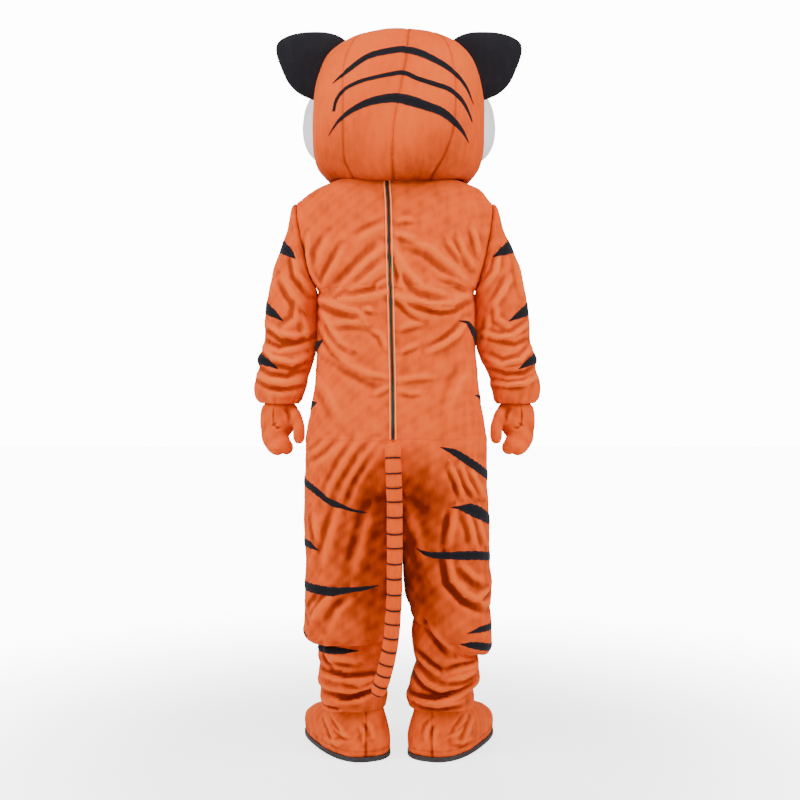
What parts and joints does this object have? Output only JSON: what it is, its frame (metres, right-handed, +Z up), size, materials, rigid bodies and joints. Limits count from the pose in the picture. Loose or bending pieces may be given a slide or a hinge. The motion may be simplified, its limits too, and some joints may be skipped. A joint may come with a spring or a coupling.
{
  "type": "tiger mascot costume",
  "caption": "Worn plush tiger mascot costume: striped body suit with back zip, big animal head, gloves, shoe covers and a ringed tail, hollow, in a standing pose",
  "frame": {"origin": "between the wearer's shoulders, 1.48 m above the floor, where the costume is held up", "axes": "+Z up, the costume's back faces +Y and its front -Y, +X is the wearer's left"},
  "size_m": [0.7455, 0.5214, 1.882],
  "materials": {
    "orange_plush": "short-nap plush",
    "black_plush": "short-nap plush",
    "white_plush": "soft plush",
    "sole": "matt",
    "zip_tape": "woven tape with moulded teeth",
    "zip_metal": "satin",
    "gloss_black": "polished"
  },
  "bodies": {
    "costume": {"back_left": "orange_plush", "back_right": "orange_plush", "front": "orange_plush", "sleeve_left": "orange_plush", "sleeve_right": "orange_plush", "leg_back_left": "orange_plush", "leg_back_right": "orange_plush", "leg_front_left": "orange_plush", "leg_front_right": "orange_plush", "head_back_left": "orange_plush", "head_back_right": "orange_plush", "head_side_left": "orange_plush", "head_side_right": "orange_plush", "head_face": "orange_plush", "shoe_left": "orange_plush", "shoe_right": "orange_plush", "glove_left": "orange_plush", "glove_right": "orange_plush", "tail": "orange_plush", "leg_stripe_left_1": "black_plush", "leg_stripe_left_2": "black_plush", "leg_stripe_left_3": "black_plush", "leg_stripe_left_4": "black_plush", "leg_stripe_left_5": "black_plush", "leg_stripe_right_1": "black_plush", "leg_stripe_right_2": "black_plush", "leg_stripe_right_3": "black_plush", "leg_stripe_right_4": "black_plush", "leg_stripe_right_5": "black_plush", "sleeve_stripe_left_1": "black_plush", "sleeve_stripe_left_2": "black_plush", "sleeve_stripe_left_3": "black_plush", "sleeve_stripe_right_1": "black_plush", "sleeve_stripe_right_2": "black_plush", "sleeve_stripe_right_3": "black_plush", "waist_stripe_left_1": "black_plush", "waist_stripe_left_2": "black_plush", "waist_stripe_right_1": "black_plush", "waist_stripe_right_2": "black_plush", "head_stripe_crown": "black_plush", "head_stripe_middle": "black_plush", "head_stripe_lower": "black_plush", "ear_back_left": "black_plush", "ear_back_right": "black_plush", "cheek_left": "white_plush", "cheek_right": "white_plush", "muzzle": "white_plush", "chin": "white_plush", "ear_front_left": "white_plush", "ear_front_right": "white_plush", "sole_left": "sole", "sole_right": "sole", "zip": "zip_tape", "zip_slider": "zip_metal", "nose": "gloss_black", "eye_left": "gloss_black", "eye_right": "gloss_black"},
    "pull_tab": {"zip_pull": "zip_metal"}
  },
  "joints": [
    {"name": "pull_swing", "type": "hinge", "parent": "costume", "child": "pull_tab", "pos_m": [0.03, 0.10348, 0.01673], "axis": [1, 0, 0], "range_deg": [0, 150]}
  ]
}
